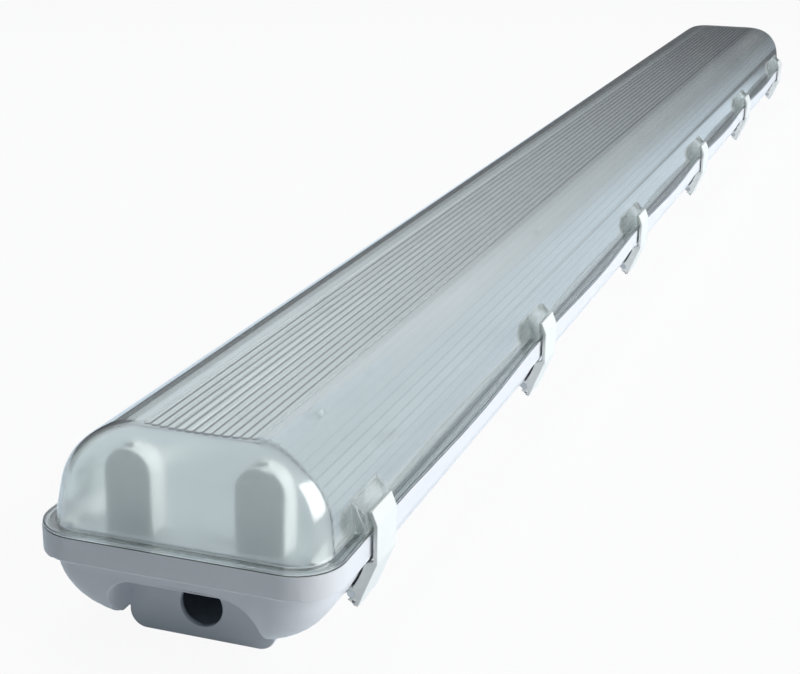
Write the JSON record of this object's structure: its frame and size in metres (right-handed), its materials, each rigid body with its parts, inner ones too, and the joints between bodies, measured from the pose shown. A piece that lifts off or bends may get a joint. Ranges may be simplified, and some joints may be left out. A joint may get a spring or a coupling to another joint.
{
  "type": "vapor tight light fixture",
  "caption": "Long sealed ceiling light: grey moulded housing, clear ribbed lens held by hinged clips along both sides, and lampholders at each end for straight tubes.",
  "frame": {"origin": "middle of the mounting face under the plinth", "axes": "+X along the fixture away from the cable entry, +Z out of the lens, clips on both Y sides"},
  "size_m": [1.57, 0.1486, 0.098],
  "materials": {
    "housing_polyester": "moulded, satin, light grey",
    "lens_clear": "clear, ribbed inside",
    "clip_plastic": "moulded, satin, white",
    "pin_steel": "drawn",
    "gasket_foam": "foamed, matte",
    "seal_rubber": "moulded, matte",
    "tray_enamel": "gloss white",
    "screw_steel": "zinc plated",
    "holder_plastic": "moulded, white",
    "rotor_plastic": "moulded, white",
    "contact_brass": "stamped",
    "ballast_case": "painted",
    "connector_plastic": "moulded",
    "tag_tin": "tinned",
    "wire_supply": "insulated",
    "wire_earth": "insulated",
    "wire_lamp": "insulated"
  },
  "bodies": {
    "root": {"housing": "housing_polyester", "clip_hinge_pins": "pin_steel", "fixing_seals": "seal_rubber", "gasket": "gasket_foam", "diffuser": "lens_clear", "gear_tray": "tray_enamel", "tray_screws": "screw_steel", "ballast_screws": "screw_steel", "earth_screw": "screw_steel", "lamp_contacts": "contact_brass", "ballast": "ballast_case", "ballast_connectors": "connector_plastic", "terminal_block": "connector_plastic", "terminal_screws": "screw_steel", "earth_tag": "tag_tin", "supply_wires": "wire_supply", "earth_wire": "wire_earth", "lamp_wires_entry": "wire_lamp", "lamp_wires_far": "wire_lamp", "lampholder_entry_front": "holder_plastic", "lampholder_entry_back": "holder_plastic", "lampholder_far_front": "holder_plastic", "lampholder_far_back": "holder_plastic"},
    "clip_front_1": {"clip_front_1": "clip_plastic"},
    "clip_front_2": {"clip_front_2": "clip_plastic"},
    "clip_front_3": {"clip_front_3": "clip_plastic"},
    "clip_front_4": {"clip_front_4": "clip_plastic"},
    "clip_front_5": {"clip_front_5": "clip_plastic"},
    "clip_front_6": {"clip_front_6": "clip_plastic"},
    "clip_back_1": {"clip_back_1": "clip_plastic"},
    "clip_back_2": {"clip_back_2": "clip_plastic"},
    "clip_back_3": {"clip_back_3": "clip_plastic"},
    "clip_back_4": {"clip_back_4": "clip_plastic"},
    "clip_back_5": {"clip_back_5": "clip_plastic"},
    "clip_back_6": {"clip_back_6": "clip_plastic"},
    "rotor_entry_front": {"rotor_entry_front": "rotor_plastic"},
    "rotor_entry_back": {"rotor_entry_back": "rotor_plastic"},
    "rotor_far_front": {"rotor_far_front": "rotor_plastic"},
    "rotor_far_back": {"rotor_far_back": "rotor_plastic"}
  },
  "joints": [
    {"name": "clip_front_1_hinge", "type": "hinge", "parent": "root", "child": "clip_front_1", "pos_m": [-0.7225, -0.06198, 0.02241], "axis": [1, 0, 0], "range_deg": [0, 65]},
    {"name": "clip_front_2_hinge", "type": "hinge", "parent": "root", "child": "clip_front_2", "pos_m": [-0.4335, -0.06198, 0.02241], "axis": [1, 0, 0], "range_deg": [0, 65]},
    {"name": "clip_front_3_hinge", "type": "hinge", "parent": "root", "child": "clip_front_3", "pos_m": [-0.1445, -0.06198, 0.02241], "axis": [1, 0, 0], "range_deg": [0, 65]},
    {"name": "clip_front_4_hinge", "type": "hinge", "parent": "root", "child": "clip_front_4", "pos_m": [0.1445, -0.06198, 0.02241], "axis": [1, 0, 0], "range_deg": [0, 65]},
    {"name": "clip_front_5_hinge", "type": "hinge", "parent": "root", "child": "clip_front_5", "pos_m": [0.4335, -0.06198, 0.02241], "axis": [1, 0, 0], "range_deg": [0, 65]},
    {"name": "clip_front_6_hinge", "type": "hinge", "parent": "root", "child": "clip_front_6", "pos_m": [0.7225, -0.06198, 0.02241], "axis": [1, 0, 0], "range_deg": [0, 65]},
    {"name": "clip_back_1_hinge", "type": "hinge", "parent": "root", "child": "clip_back_1", "pos_m": [-0.7225, 0.06198, 0.02241], "axis": [-1, 0, 0], "range_deg": [0, 65]},
    {"name": "clip_back_2_hinge", "type": "hinge", "parent": "root", "child": "clip_back_2", "pos_m": [-0.4335, 0.06198, 0.02241], "axis": [-1, 0, 0], "range_deg": [0, 65]},
    {"name": "clip_back_3_hinge", "type": "hinge", "parent": "root", "child": "clip_back_3", "pos_m": [-0.1445, 0.06198, 0.02241], "axis": [-1, 0, 0], "range_deg": [0, 65]},
    {"name": "clip_back_4_hinge", "type": "hinge", "parent": "root", "child": "clip_back_4", "pos_m": [0.1445, 0.06198, 0.02241], "axis": [-1, 0, 0], "range_deg": [0, 65]},
    {"name": "clip_back_5_hinge", "type": "hinge", "parent": "root", "child": "clip_back_5", "pos_m": [0.4335, 0.06198, 0.02241], "axis": [-1, 0, 0], "range_deg": [0, 65]},
    {"name": "clip_back_6_hinge", "type": "hinge", "parent": "root", "child": "clip_back_6", "pos_m": [0.7225, 0.06198, 0.02241], "axis": [-1, 0, 0], "range_deg": [0, 65]},
    {"name": "rotor_entry_front_turn", "type": "hinge", "parent": "root", "child": "rotor_entry_front", "pos_m": [-0.75, -0.031, 0.076], "axis": [1, 0, 0], "range_deg": [0, 90]},
    {"name": "rotor_entry_back_turn", "type": "hinge", "parent": "root", "child": "rotor_entry_back", "pos_m": [-0.75, 0.031, 0.076], "axis": [1, 0, 0], "range_deg": [0, 90]},
    {"name": "rotor_far_front_turn", "type": "hinge", "parent": "root", "child": "rotor_far_front", "pos_m": [0.75, -0.031, 0.076], "axis": [-1, 0, 0], "range_deg": [0, 90]},
    {"name": "rotor_far_back_turn", "type": "hinge", "parent": "root", "child": "rotor_far_back", "pos_m": [0.75, 0.031, 0.076], "axis": [-1, 0, 0], "range_deg": [0, 90]}
  ]
}
